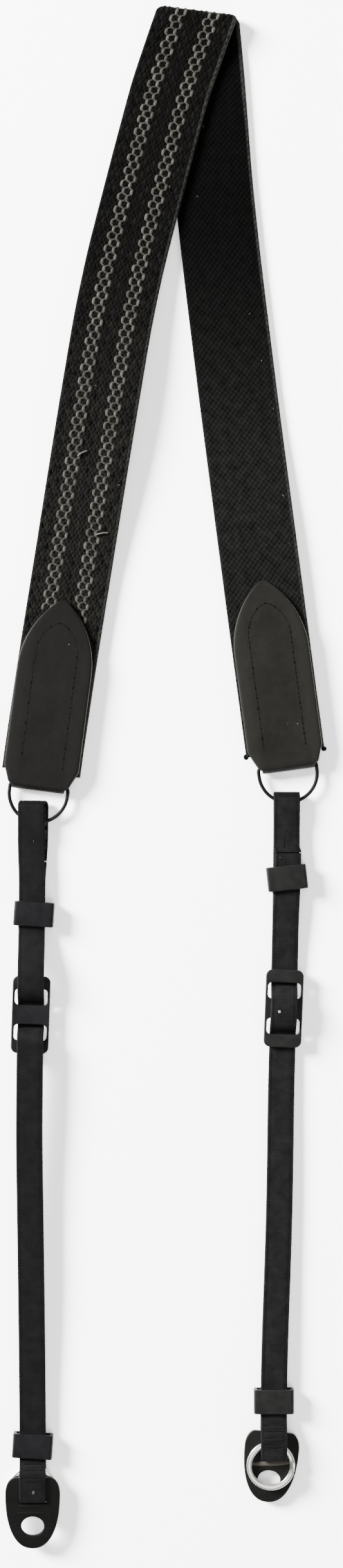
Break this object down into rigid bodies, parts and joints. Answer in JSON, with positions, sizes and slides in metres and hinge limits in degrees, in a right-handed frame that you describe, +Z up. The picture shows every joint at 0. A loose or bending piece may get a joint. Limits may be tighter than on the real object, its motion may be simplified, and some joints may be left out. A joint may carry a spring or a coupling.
{
  "type": "camera neck strap",
  "caption": "Camera neck strap laid flat and folded: patterned webbing, leather end tabs on D-rings, narrow adjusting straps with keepers and slides, split rings and leather guards.",
  "frame": {"origin": "middle of the bounding box on the floor that the strap lies on", "axes": "+Z up from the floor, +Y along the strap towards its fold, +X to the side of the plain back's run"},
  "size_m": [0.1226, 0.5866, 0.0072],
  "materials": {
    "patterned_webbing": "woven, matt, with two pale honeycomb stripes",
    "narrow_webbing": "fine woven, slightly worn",
    "leather": "smooth leather, semi-matt, lighter at the cut edges",
    "painted_wire": "satin black paint",
    "plastic": "moulded, matt",
    "plated_steel": "bright nickel plate"
  },
  "bodies": {
    "root": {"neck_webbing": "patterned_webbing", "strap_webbing_left": "narrow_webbing", "strap_webbing_right": "narrow_webbing", "end_tab_left": "leather", "end_tab_right": "leather", "guard_left": "leather", "guard_right": "leather", "d_ring_left": "painted_wire", "d_ring_right": "painted_wire", "keeper_upper_left": "plastic", "keeper_upper_right": "plastic", "keeper_lower_left": "plastic", "keeper_lower_right": "plastic", "slide_left": "plastic", "slide_right": "plastic", "split_ring_left": "plated_steel", "split_ring_right": "plated_steel"}
  },
  "joints": []
}
